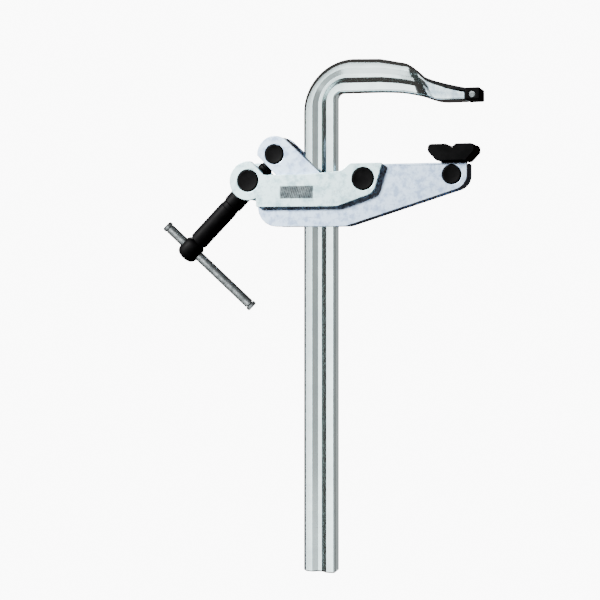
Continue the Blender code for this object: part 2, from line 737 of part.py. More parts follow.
def make_spindle(spindle_axis):
    profile = [
        (0, THREAD_END),
        (THREAD_RADIUS - THREAD_CHAMFER, THREAD_END),
        (THREAD_RADIUS, THREAD_END - THREAD_CHAMFER),
        (THREAD_RADIUS, THREAD_START + (SHANK_RADIUS - THREAD_RADIUS)),
        (SHANK_RADIUS, THREAD_START),
        (SHANK_RADIUS, HEAD_TOP),
        *head_profile(),
        (0, HEAD_BOTTOM),
    ]
    spindle = finish(along_spindle(turned("spindle", profile)), black)
    cross = rod_cutter("bar_hole", bar_centre(), bar_direction(), BAR_RADIUS + GAP, 4 * HEAD_RADIUS)
    boolean(spindle, cross, "DIFFERENCE")
    carry(spindle, spindle_axis)

    bore = SHANK_RADIUS + GAP
    washer_high = -TRUNNION_RADIUS - GAP
    washer_low = washer_high - WASHER_THICKNESS
    washer_profile = ring_profile(WASHER_RADIUS, bore, washer_low, washer_high)
    collar_high = washer_low - GAP
    collar_profile = ring_profile(COLLAR_RADIUS, bore, COLLAR_LOW, collar_high, SLEEVE_CHAMFER)
    sleeve_high = COLLAR_LOW - GAP
    sleeve_low = HEAD_TOP + GAP
    sleeve_profile = [
        (NECK_RADIUS, sleeve_high),
        (NECK_RADIUS, NECK_LOW),
        (SLEEVE_RADIUS, NECK_LOW - SLEEVE_CHAMFER),
        (SLEEVE_RADIUS, sleeve_low + SLEEVE_CHAMFER),
        (NECK_RADIUS, sleeve_low),
        (bore, sleeve_low),
        (bore, sleeve_high),
    ]
    circlip_low = TRUNNION_RADIUS + GAP
    circlip_high = circlip_low + CIRCLIP_THICKNESS
    circlip_profile = ring_profile(CIRCLIP_RADIUS, bore, circlip_low, circlip_high, 0.2 * mm)
    stop_high = THREAD_END - THREAD_CHAMFER
    stop_low = stop_high - STOP_RING_LENGTH
    stop_bore = THREAD_RADIUS + GAP
    stop_profile = ring_profile(STOP_RING_RADIUS, stop_bore, stop_low, stop_high, 0.3 * mm)
    for name, ring, material in [
        ("thrust_washer", washer_profile, dark_steel),
        ("thrust_collar", collar_profile, black),
        ("spindle_sleeve", sleeve_profile, black),
        ("spindle_circlip", circlip_profile, dark_steel),
        ("thread_stop_ring", stop_profile, black),
    ]:
        carry(finish(along_spindle(turned(name, ring, closed=True)), material), spindle_axis)


def bar_direction():
    """Along the tommy bar: square to the spindle, and turned a little about it."""
    down = Vector((math.cos(SPINDLE_TILT), 0, -math.sin(SPINDLE_TILT)))
    return down * math.cos(BAR_TURN) + Y * math.sin(BAR_TURN)


def bar_centre():
    """Where the tommy bar's axis crosses the spindle's."""
    return Vector(
        (
            RAIL_X + TRUNNION[0] + BAR_AT * SPINDLE_DIRECTION[0],
            0,
            FULCRUM_Z + TRUNNION[1] + BAR_AT * SPINDLE_DIRECTION[1],
        )
    )


def lay_along_bar(obj):
    obj.rotation_mode = "QUATERNION"
    obj.rotation_quaternion = Vector((0, 0, 1)).rotation_difference(bar_direction())
    obj.location = bar_centre() + bar_direction() * BAR_OFFSET
    return obj


def make_tommy_bar(bar_axis):
    half = BAR_LENGTH / 2
    inner = half - BAR_RING_LENGTH
    spigot = BAR_SPIGOT_RADIUS
    profile = [
        (0, half),
        (spigot, half),
        (spigot, inner),
        (BAR_RADIUS, inner),
        (BAR_RADIUS, -inner),
        (spigot, -inner),
        (spigot, -half),
        (0, -half),
    ]
    bar = turned("tommy_bar", profile, steps=24)
    carry(finish(lay_along_bar(bar), steel), bar_axis)

    for name, sign in (("upper_bar_ring", -1), ("lower_bar_ring", 1)):
        low, high = sorted((sign * (inner + GAP), sign * half))
        section = ring_profile(BAR_RING_RADIUS, spigot + GAP, low, high, 0.8 * mm)
        ring = lay_along_bar(turned(name, section, closed=True, steps=24))
        carry(finish(ring, steel), bar_axis)


# ---- the whole clamp ----

clear_scene()
parts = new_collection("bar_clamp")
cutters = new_collection("cutters")
steel = new_material("plated_steel", (0.72, 0.76, 0.77), 0.28, 1.0)
dark_steel = new_material("plain_steel", (0.35, 0.35, 0.36), 0.45, 1.0)
black = new_material("black_oxide", (0.015, 0.015, 0.017), 0.4, 0.6)

slide_axis = joint_empty("slide_axis", (0, 0))
lever_axis = joint_empty("lever_axis", FULCRUM)
trunnion_axis = joint_empty("trunnion_axis", TRUNNION)
spindle_axis = joint_empty("spindle_axis", TRUNNION, SPINDLE_TILT)
nut_axis = joint_empty("nut_axis", NUT)
pad_axis = joint_empty("pad_axis", PAD_PIN)
bar_axis = joint_empty("bar_axis", TRUNNION, SPINDLE_TILT)
for child, parent in [
    (lever_axis, slide_axis),
    (trunnion_axis, slide_axis),
    (spindle_axis, trunnion_axis),
    (nut_axis, lever_axis),
    (pad_axis, lever_axis),
    (bar_axis, spindle_axis),
]:
    carry(child, parent)

make_rail()
make_slide(slide_axis)
make_lever(lever_axis)
make_pad(pad_axis)
make_nut(nut_axis)
make_trunnion(trunnion_axis)
make_spindle(spindle_axis)
make_tommy_bar(bar_axis)
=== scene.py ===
import json
import math
import bmesh
import bpy
from mathutils import Matrix, Vector


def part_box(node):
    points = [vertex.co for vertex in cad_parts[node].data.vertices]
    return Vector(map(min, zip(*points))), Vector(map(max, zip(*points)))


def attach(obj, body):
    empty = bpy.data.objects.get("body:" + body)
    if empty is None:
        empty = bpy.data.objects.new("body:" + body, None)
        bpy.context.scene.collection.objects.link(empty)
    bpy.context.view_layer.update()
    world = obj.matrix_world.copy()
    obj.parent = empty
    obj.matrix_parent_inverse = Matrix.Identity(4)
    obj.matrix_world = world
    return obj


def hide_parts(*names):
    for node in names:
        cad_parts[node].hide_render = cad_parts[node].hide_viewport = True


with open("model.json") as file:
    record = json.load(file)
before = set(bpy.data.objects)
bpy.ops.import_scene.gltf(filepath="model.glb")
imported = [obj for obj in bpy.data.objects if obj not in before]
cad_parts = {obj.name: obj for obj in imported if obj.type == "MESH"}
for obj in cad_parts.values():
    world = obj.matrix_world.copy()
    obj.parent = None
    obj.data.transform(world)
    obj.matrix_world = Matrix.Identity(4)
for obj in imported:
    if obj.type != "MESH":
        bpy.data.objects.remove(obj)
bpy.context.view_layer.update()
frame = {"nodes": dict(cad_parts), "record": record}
print("frame loaded:", len(frame["nodes"]), "nodes")

mm = 0.001
bodies = frame["record"]["behaviour"]["bodies"]


# places read from the frame

def middleOf(node):
    low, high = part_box(node)
    return (low + high) / 2


fulcrumAt = middleOf("fulcrum_pin")
trunnionAt = middleOf("trunnion_barrel")
nutAt = middleOf("barrel_nut")
padPinAt = middleOf("pad_pin")
spindleAlong = (nutAt - trunnionAt).normalized()


# shader helpers

class Value:  # a socket whose maths adds Math nodes
    def __init__(self, maker, socket):
        self.maker = maker
        self.socket = socket

    def join(self, operation, first, second):
        return self.maker.node("ShaderNodeMath", {"operation": operation}, [first, second])

    def __add__(self, other):
        return self.join("ADD", self, other)

    def __sub__(self, other):
        return self.join("SUBTRACT", self, other)

    def __rsub__(self, other):
        return self.join("SUBTRACT", other, self)

    def __mul__(self, other):
        return self.join("MULTIPLY", self, other)

    __radd__ = __add__


class Maker:
    def __init__(self, name):
        self.material = bpy.data.materials.new(name)
        self.material.use_nodes = True
        self.tree = self.material.node_tree
        self.shader = self.tree.nodes["Principled BSDF"]
        self.place = self.node("ShaderNodeTexCoord", {}, {}, "Object")

    def put(self, socket, value):
        if isinstance(value, Value):
            self.tree.links.new(value.socket, socket)
        elif socket.type == "RGBA":
            socket.default_value = (*value, 1)
        else:
            socket.default_value = value

    def node(self, kind, settings, sockets, output=0):
        made = self.tree.nodes.new(kind)
        for key, value in settings.items():
            if key == "stops":
                for element, (position, level) in zip(made.color_ramp.elements, value):
                    element.position = position
                    element.color = (level, level, level, 1)
            else:
                setattr(made, key, value)
        pairs = sockets.items() if isinstance(sockets, dict) else enumerate(sockets)
        for key, value in pairs:
            self.put(made.inputs[key], value)
        return Value(self, made.outputs[output])

    def moved(self, vector, scale=(1, 1, 1), shift=(0, 0, 0), turn=(0, 0, 0)):
        # the pattern's own axes: shifted to a centre, then turned and scaled
        offset = [-part for part in shift]
        first = {"Vector": vector, "Location": offset}
        centred = self.node("ShaderNodeMapping", {}, first)
        second = {"Vector": centred, "Rotation": turn, "Scale": scale}
        return self.node("ShaderNodeMapping", {}, second)

    def noise(self, vector, scale=1.0, detail=3.0, roughness=0.55):
        sockets = {"Vector": vector, "Scale": scale, "Detail": detail, "Roughness": roughness}
        return self.node("ShaderNodeTexNoise", {}, sockets, "Fac")

    def ramp(self, value, low, high):
        # 0 below low and 1 above high
        return self.node("ShaderNodeValToRGB", {"stops": [(low, 0.0), (high, 1.0)]}, [value])

    def blend(self, factor, first, second):
        sockets = {"Factor": factor, 6: first, 7: second}
        return self.node("ShaderNodeMix", {"data_type": "RGBA"}, sockets, 2)

    def part(self, vector, axis):
        return self.node("ShaderNodeSeparateXYZ", {}, [vector], axis)

    def within(self, value, middle, half, soft):
        # 1 within half of middle, fading out over soft
        away = self.node("ShaderNodeMath", {"operation": "ABSOLUTE"}, [value - middle])
        sockets = [away, half - soft, half + soft, 1.0, 0.0]
        return self.node("ShaderNodeMapRange", {"clamp": True}, sockets)

    def edges(self, radius):
        # 1 on the piece's outer edges
        rounded = self.node("ShaderNodeBevel", {"samples": 4}, [radius])
        flat = self.node("ShaderNodeNewGeometry", {}, {}, "Normal")
        dot = {"operation": "DOT_PRODUCT"}
        same = self.node("ShaderNodeVectorMath", dot, [rounded, flat], "Value")
        return self.ramp(1 - same, 0.01, 0.2)

    def scratches(self, vector, scale, turn, share):
        # sparse fine lines: a stretched noise, cut to its crests and broken up by a coarse one
        stretched = self.moved(vector, scale=(scale * 0.04, scale * 0.04, scale), turn=turn)
        crests = self.ramp(self.noise(stretched, 1.0, 2.0, 0.4), 1 - share, 1 - share + 0.03)
        patches = self.ramp(self.noise(vector, 70.0, 2.0), 0.52, 0.6)
        return crests * patches

    def finish(self, colour, roughness, metallic, height, strength, depth, fixed=None):
        self.put(self.shader.inputs["Base Color"], colour)
        self.put(self.shader.inputs["Roughness"], roughness)
        self.put(self.shader.inputs["Metallic"], metallic)
        sockets = {"Strength": strength, "Distance": depth, "Height": height}
        self.put(self.shader.inputs["Normal"], self.node("ShaderNodeBump", {}, sockets))
        for key, value in (fixed or {}).items():
            self.shader.inputs[key].default_value = value
        return self.material


# materials

drawnSteel = {
    "bright": (0.75, 0.90, 0.90), "dull": (0.52, 0.66, 0.69), "roughness": 0.13,
    "lineScale": 1500.0, "lineLength": 9.0, "cloudScale": 55.0, "speckScale": 700.0,
    "markScale": 900.0, "markTurn": (0.3, 0.9, 0.2), "markShare": 0.34,
    "serrations": 1.1 * mm, "strength": 0.35, "depth": 0.08 * mm,
}
# the blade's skin starts beyond a given X, and fades in from there
forgedSkin = {
    "colour": (0.24, 0.33, 0.40), "from": -30 * mm, "fade": 20.0, "scale": 210.0,
    "least": 0.3, "extra": 0.6,
}


def makeDrawnSteel(name, settings):
    # the length of the rail runs along V of its own map, and U runs round its section, in metres
    maker = Maker(name)
    along = maker.node("ShaderNodeTexCoord", {}, {}, "UV")
    drawn = maker.moved(along, scale=(settings["lineScale"], settings["lineLength"], 1.0))
    lines = maker.noise(drawn, 1.0, 4.0, 0.6)
    clouds = maker.ramp(maker.noise(maker.place, settings["cloudScale"], 4.0), 0.35, 0.72)
    specks = maker.ramp(maker.noise(maker.place, settings["speckScale"], 2.0), 0.64, 0.75)
    marks = maker.scratches(
        maker.place, settings["markScale"], settings["markTurn"], settings["markShare"]
    )
    colour = maker.blend(clouds * 0.45 + specks * 0.2, settings["bright"], settings["dull"])
    colour = maker.blend(marks * 0.35, colour, settings["dull"])
    # the blade beyond the bend keeps a darker, cloudy skin from being forged
    past = maker.part(maker.place, "X") - forgedSkin["from"]
    beyond = maker.ramp(past * forgedSkin["fade"], 0.0, 0.2)
    skin = maker.ramp(maker.noise(maker.place, forgedSkin["scale"], 4.0), 0.36, 0.6)
    cover = beyond * (skin * forgedSkin["extra"] + forgedSkin["least"])
    colour = maker.blend(cover, colour, forgedSkin["colour"])
    # the fine teeth pressed across the two narrow edges, for the slide's grip
    narrow = maker.node("ShaderNodeNewGeometry", {}, {}, "Normal")
    sideways = maker.node("ShaderNodeMath", {"operation": "ABSOLUTE"}, [maker.part(narrow, "Y")])
    onEdge = maker.ramp(1 - sideways, 0.93, 0.99)
    pitch = 2 * math.pi / settings["serrations"]
    wave = maker.node("ShaderNodeMath", {"operation": "SINE"}, [maker.part(along, "Y") * pitch])
    below = maker.ramp(maker.part(maker.place, "Z") * -1.0, 0.0, 0.01)
    teeth = wave * onEdge * below
    roughness = settings["roughness"] + lines * 0.08 + clouds * 0.06
    height = lines * 0.14 + teeth * 0.9 + marks * -0.3
    return maker.finish(colour, roughness, 1.0, height, settings["strength"], settings["depth"])


plateFinish = {
    "cloudScale": 170.0, "markScale": 1100.0, "markTurn": (0.4, 0.5, 0.3), "markShare": 0.33,
    "paleEdgeWidth": 0.5 * mm, "strength": 0.3, "depth": 0.06 * mm,
}
# edge is the near-white colour of a painted highlight along the plates' edges
satinPlate = {
    "bright": (0.68, 0.93, 0.96), "dull": (0.24, 0.40, 0.44), "edge": (0.95, 0.96, 0.96),
    "roughness": 0.40, "metallic": 0.42, "grain": 2600.0, "mottle": 0.85, **plateFinish,
}
leverPlate = {
    "bright": (0.58, 0.74, 0.94), "dull": (0.16, 0.24, 0.40), "edge": (0.92, 0.94, 0.95),
    "roughness": 0.42, "metallic": 0.45, "grain": 2400.0, "mottle": 0.75, **plateFinish,
}
stamp = {
    "middle": fulcrumAt + Vector((-55.6, 0, -10.0)) * mm,
    "half": (14.2 * mm, 5.2 * mm), "ink": (0.010, 0.006, 0.008), "pitch": 1.9 * mm,
    "fade": 0.5 * mm, "lean": 0.35, "speckle": 900.0, "bite": -1.2,
}


def makePlateSteel(name, settings, stamped=None):
    maker = Maker(name)
    grain = maker.noise(maker.place, settings["grain"], 3.0, 0.6)
    clouds = maker.ramp(
        maker.noise(maker.place, settings["cloudScale"], 5.0, 0.62), 0.44, 0.62
    )
    marks = maker.scratches(
        maker.place, settings["markScale"], settings["markTurn"], settings["markShare"]
    )
    # painted highlight: every edge of the plate is painted paler, near white, as if it caught the
    # light, and its lower roughness there stands for rubbed wear
    paleEdge = maker.edges(settings["paleEdgeWidth"])
    colour = maker.blend(clouds * settings["mottle"], settings["bright"], settings["dull"])
    colour = maker.blend(marks * 0.4, colour, settings["dull"])
    colour = maker.blend(paleEdge * 0.6, colour, settings["edge"])
    height = grain * 0.5 + clouds * 0.3 + marks * -0.6
    roughness = settings["roughness"] + clouds * 0.1 + marks * -0.08 + paleEdge * -0.12
    if stamped:
        # a generic etched patch of slanting hatch, with no lettering
        right = maker.part(maker.place, "X")
        up = maker.part(maker.place, "Z")
        middle, half, fade = stamped["middle"], stamped["half"], stamped["fade"]
        across = maker.within(right, middle.x, half[0], fade)
        inside = across * maker.within(up, middle.z, half[1], fade)
        slant = (right + up * stamped["lean"]) * (2 * math.pi / stamped["pitch"])
        hatch = maker.ramp(maker.node("ShaderNodeMath", {"operation": "SINE"}, [slant]), 0.0, 0.9)
        speckle = maker.ramp(maker.noise(maker.place, stamped["speckle"], 2.0), 0.35, 0.6)
        etched = inside * (hatch * 0.1 + speckle * 0.1 + 0.8)
        colour = maker.blend(etched, colour, stamped["ink"])
        height = height + etched * stamped["bite"]
        roughness = roughness + inside * 0.4
    return maker.finish(
        colour, roughness, settings["metallic"], height, settings["strength"], settings["depth"]
    )


blackOxide = {
    "deep": (0.0006, 0.0006, 0.0007), "grey": (0.0022, 0.0022, 0.0024), "paleEdge": (0.02, 0.02, 0.021),
    "roughness": 0.5, "specular": 0.03, "grain": 1800.0, "cloudScale": 160.0,
    "paleEdgeWidth": 0.45 * mm, "wornScale": 500.0, "waver": 0.3, "strength": 0.3, "depth": 0.05 * mm,
}
# how close the turning marks stand on each kind of piece
ringScales = {"spindle": 900.0, "tip": 500.0, "pin": 1100.0, "pad": 350.0}


def makeBlackOxide(name, settings, centre, turn, rings):
    # turning marks run round the axis through centre
    maker = Maker(name)
    local = maker.moved(maker.place, shift=tuple(centre), turn=turn)
    grain = maker.noise(maker.place, settings["grain"], 3.0, 0.6)
    clouds = maker.ramp(maker.noise(maker.place, settings["cloudScale"], 4.0), 0.35, 0.7)
    rubbed = maker.edges(settings["paleEdgeWidth"])
    paleEdge = rubbed * maker.ramp(maker.noise(maker.place, settings["wornScale"], 3.0), 0.42, 0.6)
    colour = maker.blend(clouds * 0.7, settings["deep"], settings["grey"])
    colour = maker.blend(paleEdge * 0.55, colour, settings["paleEdge"])
    waver = settings["waver"]
    sockets = {"Vector": local, "Scale": rings, "Distortion": waver, "Detail": 2.0}
    ringWave = {"wave_type": "RINGS", "rings_direction": "Z"}
    turned = maker.node("ShaderNodeTexWave", ringWave, sockets, "Fac")
    roughness = settings["roughness"] + clouds * 0.12 + paleEdge * -0.1
    height = grain * 0.5 + turned * 0.35
    fixed = {"Specular IOR Level": settings["specular"]}
    strength, depth = settings["strength"], settings["depth"]
    return maker.finish(colour, roughness, 0.0, height, strength, depth, fixed)


bareFinish = {
    "grain": 2200.0, "markScale": 1300.0, "markTurn": (0.2, 0.8, 0.5), "markShare": 0.36,
    "strength": 0.3, "depth": 0.06 * mm,
}
bareSteel = {
    "bright": (0.42, 0.42, 0.43), "dull": (0.24, 0.23, 0.22), "roughness": 0.36,
    "mottle": 0.7, "blotchScale": 180.0, **bareFinish,
}
handleSteel = {
    "bright": (0.44, 0.49, 0.50), "dull": (0.17, 0.20, 0.205), "roughness": 0.42,
    "mottle": 0.9, "blotchScale": 260.0, **bareFinish,
}


def makeBareSteel(name, settings):
    maker = Maker(name)
    grain = maker.noise(maker.place, settings["grain"], 3.0, 0.6)
    blotches = maker.ramp(
        maker.noise(maker.place, settings["blotchScale"], 5.0, 0.65), 0.38, 0.66
    )
    marks = maker.scratches(
        maker.place, settings["markScale"], settings["markTurn"], settings["markShare"]
    )
    colour = maker.blend(blotches * settings["mottle"], settings["bright"], settings["dull"])
    colour = maker.blend(marks * 0.5, colour, settings["bright"])
    roughness = settings["roughness"] + blotches * 0.16 + grain * 0.05
    height = grain * 0.5 + blotches * -0.4 + marks * -0.5
    return maker.finish(colour, roughness, 1.0, height, settings["strength"], settings["depth"])


quarter = math.pi / 2
acrossTurn = (quarter, 0.0, 0.0)  # turns the clamp's Y onto the pattern's Z
spindleTurn = (0.0, -math.atan2(spindleAlong.x, spindleAlong.z), 0.0)
railSteel = makeDrawnSteel("railSteel", drawnSteel)
cheekSteel = makePlateSteel("cheekSteel", satinPlate)
stampedSteel = makePlateSteel("stampedSteel", satinPlate, stamp)
leverSteel = makePlateSteel("leverSteel", leverPlate)
plainSteel = makeBareSteel("plainSteel", bareSteel)
barSteel = makeBareSteel("barSteel", handleSteel)
blackSpindle = makeBlackOxide(
    "blackSpindle", blackOxide, trunnionAt, spindleTurn, ringScales["spindle"]
)
print("materials made")


# shape helpers

def bodyOf(node):
    return next(body for body, members in bodies.items() if node in members)


pieces = []


def addPiece(name, work, material, node, sharp=32, hides=True):
    # a finished piece that stands for a node, or belongs with it
    mesh = bpy.data.meshes.new(name)
    work.to_mesh(mesh)
    work.free()
    mesh.shade_smooth()
    mesh.set_sharp_from_angle(angle=math.radians(sharp))
    piece = bpy.data.objects.new(name, mesh)
    bpy.context.scene.collection.objects.link(piece)
    piece.data.materials.append(material)
    flatter = piece.modifiers.new("Even flats", "WEIGHTED_NORMAL")
    flatter.keep_sharp = True
    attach(piece, bodyOf(node))
    if hides:
        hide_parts(node)
    pieces.append(piece)


weldWithin = 0.002 * mm
flatWithin = math.radians(0.8)


def copyOf(node):
    # the node's own shape, welded, with its flat faces whole again
    work = bmesh.new()
    work.from_mesh(frame["nodes"][node].data)
    bmesh.ops.remove_doubles(work, verts=work.verts, dist=weldWithin)
    bmesh.ops.dissolve_limit(work, angle_limit=flatWithin, verts=work.verts, edges=work.edges)
    return work


def softenEdges(work, width, segments, least=35, spare=()):
    # rounds the sharp edges, apart from those round the axes through spare
    def spared(edge):
        middle = (edge.verts[0].co + edge.verts[1].co) / 2
        return any(
            math.hypot(middle.x - point.x, middle.z - point.z) < reach for point, reach in spare
        )

    sharp = [
        edge for edge in work.edges
        if len(edge.link_faces) == 2
        and edge.calc_face_angle() > math.radians(least)
        and not spared(edge)
    ]
    bmesh.ops.bevel(
        work, geom=sharp, offset=width, offset_type="OFFSET", affect="EDGES",
        segments=segments, profile=0.5, material=-1, clamp_overlap=False,
    )


def addSoftened(name, node, material, width, segments=2, **choices):
    # the node's own shape, with its sharp edges rounded
    work = copyOf(node)
    softenEdges(work, width, segments, **choices)
    addPiece(name, work, material, node)


def endFaces(work, direction, least):
    # the flat ends that face along direction, either way
    return [
        face for face in work.faces
        if abs(face.normal.dot(direction)) > 0.999 and face.calc_area() > least
    ]


# rail, bent and pressed flat

railShape = {
    "width": 27 * mm, "thickness": 13 * mm, "corner": 2.4 * mm, "bentCorner": 3.7 * mm,
    "grooveHalf": 5.9 * mm, "floorHalf": 1.6 * mm, "grooveDepth": 2.7 * mm,
    "outerBend": 41.5 * mm, "innerBend": 5 * mm, "chamfer": 1.2 * mm, "grooveEdge": 0.8 * mm,
    "cornerShare": 0.45, "throughShare": 0.6,
    "bendSteps": 30, "armSteps": 6, "cornerSteps": 6, "grooveSteps": 4,
}
# the arm, root to tip, in mm: outer X and Z, inner X and Z, thickness, groove, outer edge radius
armShape = [
    (-60, 36.1, -59, 9.6, 13, 2.7, 3.7), (-46, 33.2, -42, 8.4, 13, 2.6, 3.7),
    (-37, 30.8, -27, 5.3, 13.4, 2.0, 3.8), (-29.6, 25.2, -18.2, 2.4, 21.4, 0.3, 4.0),
    (-24, 20.4, -13.5, 1.0, 22, 0, 4.2), (-16, 16.8, -7.5, 0.15, 22, 0, 4.4),
    (-4, 13.2, -2, 0.1, 22, 0, 4.4), (9.4, 10.0, 9.4, 0.1, 22, 0, 4.2),
]
tongueShape = {"width": 8 * mm, "inset": 0.5 * mm, "length": 9.2 * mm, "height": 9.6 * mm}


def roundedCorner(before, here, after, radius, steps):
    # the points that round a corner of an outline
    here = Vector(here)
    back, ahead = (Vector(before) - here).normalized(), (Vector(after) - here).normalized()
    half = back.angle(ahead) / 2
    centre = here + (back + ahead).normalized() * radius / math.sin(half)
    start = here + back * radius / math.tan(half) - centre
    end = here + ahead * radius / math.tan(half) - centre
    return [centre + start.slerp(end, i / steps) * radius for i in range(steps + 1)]


def grooveSide():
    # one slope of a full groove, shoulder to floor, as (across, depth)
    edge, deep = railShape["grooveEdge"], railShape["grooveDepth"]
    steps = railShape["grooveSteps"]
    shoulder, floor = (-railShape["grooveHalf"], 0), (-railShape["floorHalf"], deep)
    top = roundedCorner((shoulder[0] - edge, 0), shoulder, floor, edge, steps)
    return top + roundedCorner(shoulder, floor, (0, deep), edge, steps)


grooveSlope = grooveSide()


def railSection(width, thickness, groove, outerEdge):
    # points round the section, as (across, through), from the outer narrow edge and back to it
    half, deep, share = width / 2, thickness / 2, railShape["cornerShare"]
    inner = min(railShape["corner"], half * share, deep * share)
    outer = min(outerEdge, width * share, deep * railShape["throughShare"])
    wide, depth = width / railShape["width"], groove / railShape["grooveDepth"]
    steps = railShape["cornerSteps"]
    turns = [quarter * i / steps for i in range(steps + 1)]
    first = [(-half + outer * (1 - math.cos(a)), deep - outer * (1 - math.sin(a))) for a in turns]
    last = [(half - inner * (1 - math.sin(a)), deep - inner * (1 - math.cos(a))) for a in turns]
    slope = [(point.x * wide, deep - point.y * depth) for point in grooveSlope]
    face = first + slope + [(-x, y) for x, y in reversed(slope)] + last
    return face + [(x, -y) for x, y in reversed(face)]


def bendPoints(centre, radius, steps):
    angles = [math.pi - quarter * i / steps for i in range(steps + 1)]
    return [(centre[0] + radius * math.cos(a), centre[1] + radius * math.sin(a)) for a in angles]


def throughPoints(rows, steps):
    # a smooth run through the rows' first four numbers, and a straight one through the others
    made = []
    for i in range(len(rows) - 1):
        before, here, there = rows[max(i - 1, 0)], rows[i], rows[i + 1]
        after = rows[min(i + 2, len(rows) - 1)]
        for step in range(steps):
            t = step / steps
            row = [
                0.5 * (2 * b + (c - a) * t + (2 * a - 5 * b + 4 * c - d) * t * t
                       + (3 * b - a - 3 * c + d) * t ** 3)
                for a, b, c, d in zip(before[:4], here, there, after)
            ]
            made.append(row + [b + (c - b) * t for b, c in zip(here[4:], there[4:])])
    return made + [list(rows[-1])]


def railStations():
    low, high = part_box("rail")
    back, foot, top = low.x, low.z, high.z
    front = back + railShape["width"]
    under = top - railShape["width"]
    thick, chamfer = railShape["thickness"], railShape["chamfer"]
    plain = (railShape["grooveDepth"], railShape["corner"])
    outer, inner = railShape["outerBend"], railShape["innerBend"]
    rows = [
        (back + chamfer, foot, front - chamfer, foot, thick - 2 * chamfer, *plain),
        (back, foot + chamfer, front, foot + chamfer, thick, *plain),
    ]
    steps = railShape["bendSteps"]
    outside = bendPoints((back + outer, top - outer), outer, steps)
    inside = bendPoints((front + inner, under - inner), inner, steps)
    for i, (a, b) in enumerate(zip(outside, inside)):
        share = min(1.0, 2 * i / steps)
        corner = railShape["corner"] * (1 - share) + railShape["bentCorner"] * share
        rows.append((*a, *b, thick, railShape["grooveDepth"], corner))
    rows += throughPoints([[part * mm for part in row] for row in armShape], railShape["armSteps"])
    start = rows[-1][0]
    inset, height = tongueShape["inset"], tongueShape["height"]
    for x in (start, start + tongueShape["length"]):
        rows.append((x, height - inset, x, inset, tongueShape["width"], 0, railShape["corner"]))
    return rows


def placeSection(row):
    outer, inner = Vector((row[0], 0, row[1])), Vector((row[2], 0, row[3]))
    middle, along = (outer + inner) / 2, (inner - outer).normalized()
    section = railSection((inner - outer).length, *row[4:])
    return [middle + along * x + Vector((0, y, 0)) for x, y in section]


def sweepRail(rows):
    # the first section is drawn once and then extruded from station to station
    work = bmesh.new()
    uvMap = work.loops.layers.uv.new("length")
    ring = [work.verts.new(point) for point in placeSection(rows[0])]
    start = list(ring)
    edges = [work.edges.new((a, b)) for a, b in zip(ring, ring[1:] + ring[:1])]
    girthAt, length = [0.0], 0.0
    for a, b in zip(start, start[1:]):
        girthAt.append(girthAt[-1] + (b.co - a.co).length)
    girth = girthAt[-1] + (start[0].co - start[-1].co).length
    where = {vert: (u, 0.0) for vert, u in zip(ring, girthAt)}
    for before, row in zip(rows, rows[1:]):
        made = bmesh.ops.extrude_edge_only(work, edges=edges)["geom"]
        fresh = {item for item in made if isinstance(item, bmesh.types.BMVert)}
        edges = [
            item for item in made
            if isinstance(item, bmesh.types.BMEdge) and fresh.issuperset(item.verts)
        ]
        ring = [
            next(
                edge.other_vert(vert) for edge in vert.link_edges
                if edge.other_vert(vert) in fresh
            )
            for vert in ring
        ]
        length += math.dist(
            ((before[0] + before[2]) / 2, (before[1] + before[3]) / 2),
            ((row[0] + row[2]) / 2, (row[1] + row[3]) / 2),
        )
        for vert, point, u in zip(ring, placeSection(row), girthAt):
            vert.co = point
            where[vert] = (u, length)
    for face in work.faces:
        across = [where[loop.vert][0] for loop in face.loops]
        wraps = max(across) - min(across) > girth / 2
        for loop in face.loops:
            u, v = where[loop.vert]
            loop[uvMap].uv = (u + girth if wraps and u < girth / 2 else u, v)
    bmesh.ops.contextual_create(work, geom=start)
    bmesh.ops.contextual_create(work, geom=ring)
    bmesh.ops.recalc_face_normals(work, faces=work.faces)
    return work


addPiece("bentRail", sweepRail(railStations()), railSteel, "rail", sharp=30)
tipBlack = makeBlackOxide(
    "tipBlack", blackOxide, middleOf("tip_cap"), acrossTurn, ringScales["tip"]
)
addSoftened("tipCap", "tip_cap", tipBlack, 0.35 * mm)
addSoftened("tipPin", "tip_pin", barSteel, 0.15 * mm)
print("rail and tip made")


# cheeks, lever plates and what is between them

plateEdge = {"round": 0.45 * mm, "segments": 3, "rivetReach": 4 * mm, "rivetFill": 1.12}


def fillRivet(name, node, material):
    # a flush rivet, hammered out until it fills its hole
    work = copyOf(node)
    at = middleOf(node)
    grow = plateEdge["rivetFill"]
    bmesh.ops.scale(work, vec=(grow, 1, grow), space=Matrix.Translation(-at), verts=work.verts)
    addPiece(name, work, material, node)


rivets = ["rear_shoe_rivet", "front_shoe_rivet", "spacer_rivet"]
aroundRivets = [(middleOf(rivet), plateEdge["rivetReach"]) for rivet in rivets]
for name, node, material in [
    ("frontCheek", "front_cheek", stampedSteel),
    ("rearCheek", "rear_cheek", cheekSteel),
    ("frontLeverPlate", "front_lever_plate", leverSteel),
    ("rearLeverPlate", "rear_lever_plate", leverSteel),
]:
    addSoftened(
        name, node, material, plateEdge["round"], plateEdge["segments"], spare=aroundRivets
    )
fillRivet("rearShoeRivet", "rear_shoe_rivet", stampedSteel)
fillRivet("frontShoeRivet", "front_shoe_rivet", cheekSteel)
fillRivet("spacerRivet", "spacer_rivet", leverSteel)
for name, node in [
    ("rearShoe", "rear_shoe"), ("frontShoe", "front_shoe"),
    ("fulcrumBush", "fulcrum_bush"), ("leverSpacer", "lever_spacer"),
]:
    addSoftened(name, node, plainSteel, 0.4 * mm)
print("slide and lever made")


# pins, trunnion and nut

pinEnd = {
    "rim": 1.3 * mm, "dish": 0.35 * mm, "slope": 0.5 * mm, "boss": 0.42, "markShare": 0.5,
    "leastArea": 60 * mm * mm,
}


